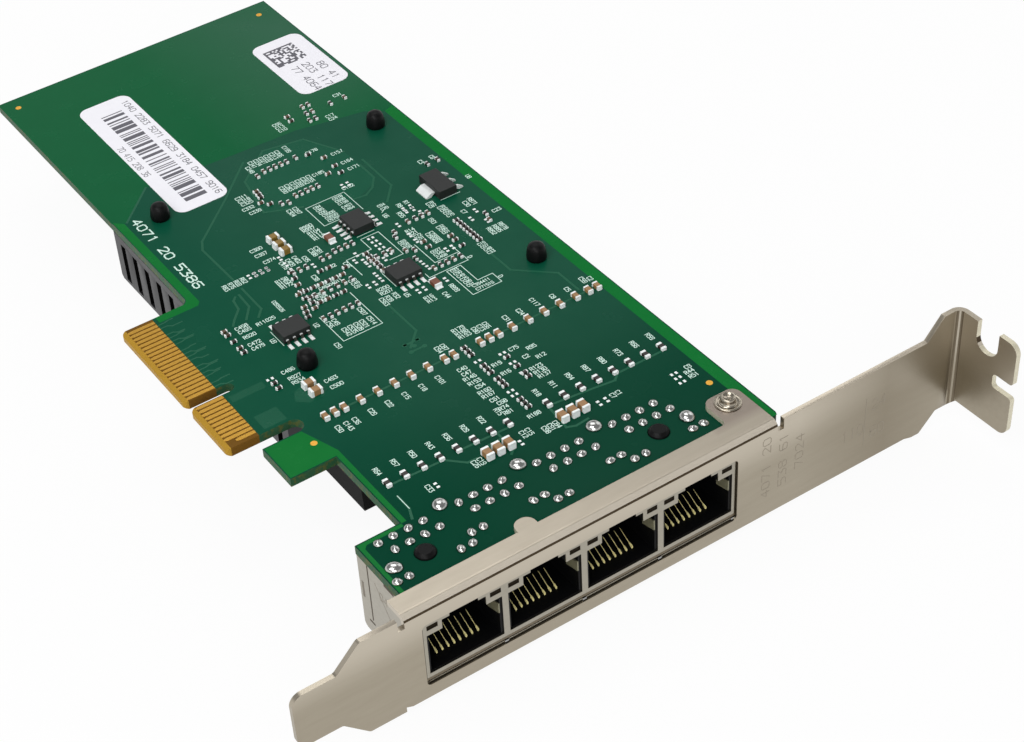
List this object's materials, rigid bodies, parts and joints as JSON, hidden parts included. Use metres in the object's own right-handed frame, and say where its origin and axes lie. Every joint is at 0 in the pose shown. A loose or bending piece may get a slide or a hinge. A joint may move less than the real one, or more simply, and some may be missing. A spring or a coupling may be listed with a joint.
{
  "type": "network interface card",
  "caption": "Full-height expansion card with a row of shielded network ports, a gold edge connector, a finned heatsink under the board and a bent steel bracket.",
  "frame": {"origin": "at the key notch of the edge connector, on the tips of its tongue and in the middle of the board's thickness", "axes": "+X from the board out through the bracket, +Y from the edge connector to the board's top edge, +Z out of the solder side"},
  "size_m": [0.1678, 0.1202, 0.022],
  "materials": {
    "circuit_board": "green solder mask over glass epoxy",
    "gold_contacts": "gold plate",
    "nickel_steel": "nickel-plated steel sheet",
    "shield_steel": "nickel-plated steel sheet",
    "black_plastic": "moulded black plastic",
    "light_pipe": "milky clear plastic",
    "solder": "bright solder",
    "moulded_epoxy": "black moulded epoxy",
    "tinned_leads": "tinned copper",
    "thermal_pad": "soft thermal pad",
    "anodised_aluminium": "dark anodised aluminium",
    "spring_steel": "spring steel",
    "tan_ceramic": "tan ceramic",
    "resistor_glaze": "black glaze",
    "label_paper": "white label stock",
    "ferrite": "grey ferrite"
  },
  "bodies": {
    "root": {"circuit_board": "circuit_board", "edge_contacts_solder_side": "gold_contacts", "edge_contacts_component_side": "gold_contacts", "mounting_bracket": "nickel_steel", "bracket_rivet": "nickel_steel", "jack_shield": "shield_steel", "jack_housing": "black_plastic", "port_contacts_1": "gold_contacts", "port_contacts_2": "gold_contacts", "port_contacts_3": "gold_contacts", "port_contacts_4": "gold_contacts", "status_light_pipes": "light_pipe", "signal_solder_joints": "solder", "shield_solder_joints": "solder", "transformer_modules": "moulded_epoxy", "transformer_leads": "tinned_leads", "controller_chip": "moulded_epoxy", "thermal_pad": "thermal_pad", "heatsink": "anodised_aluminium", "push_pins": "black_plastic", "push_pin_springs": "spring_steel", "memory_chips": "moulded_epoxy", "memory_chip_leads": "tinned_leads", "regulator_body": "moulded_epoxy", "regulator_leads": "tinned_leads", "line_capacitors": "tan_ceramic", "bulk_capacitors": "tan_ceramic", "supply_capacitors": "tan_ceramic", "termination_resistors": "resistor_glaze", "product_label": "label_paper", "code_label": "label_paper", "power_inductors": "ferrite", "clock_crystal": "shield_steel"}
  },
  "joints": []
}
